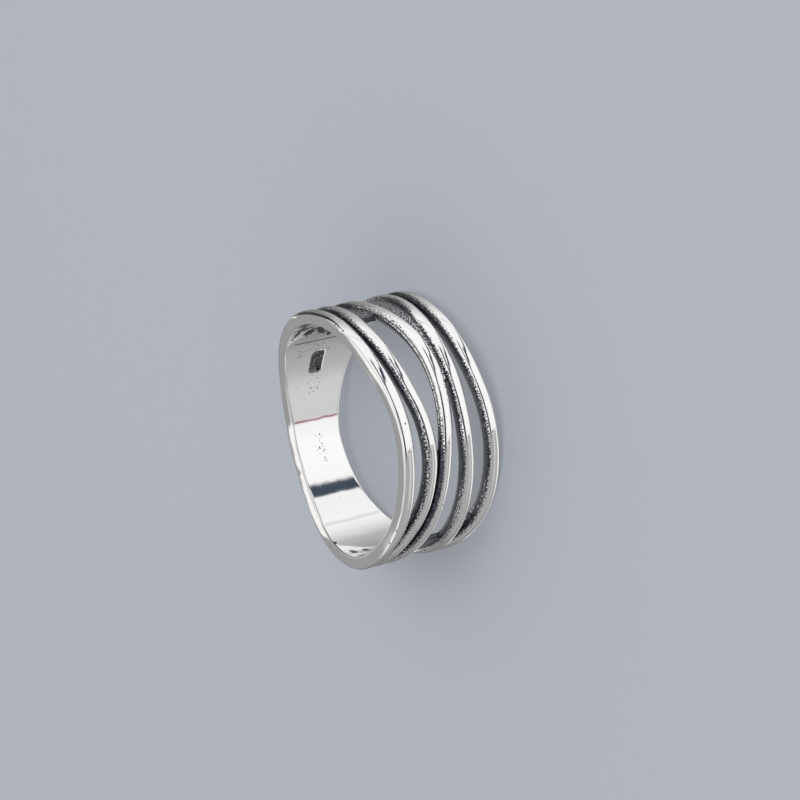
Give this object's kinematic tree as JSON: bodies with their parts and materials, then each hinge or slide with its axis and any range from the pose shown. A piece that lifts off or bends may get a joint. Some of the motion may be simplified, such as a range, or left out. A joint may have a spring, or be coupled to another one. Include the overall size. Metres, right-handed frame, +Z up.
{
  "type": "crossover ring",
  "caption": "Cast silver finger ring whose plain shank opens into slim bars that cross over the front, with blackened grooves.",
  "frame": {"origin": "on the ground under the middle of the ring, which lies on its side as it rests by itself", "axes": "+Z up, about 7 degrees from the finger hole's axis; -Y towards the front where the bars cross; +Y towards the back of the shank"},
  "size_m": [0.0198, 0.0198, 0.0094],
  "materials": {
    "oxidised_silver": "polished sterling silver, with the grooves between the bars blackened and finely pitted"
  },
  "bodies": {
    "root": {"crossover_ring": "oxidised_silver"}
  },
  "joints": []
}
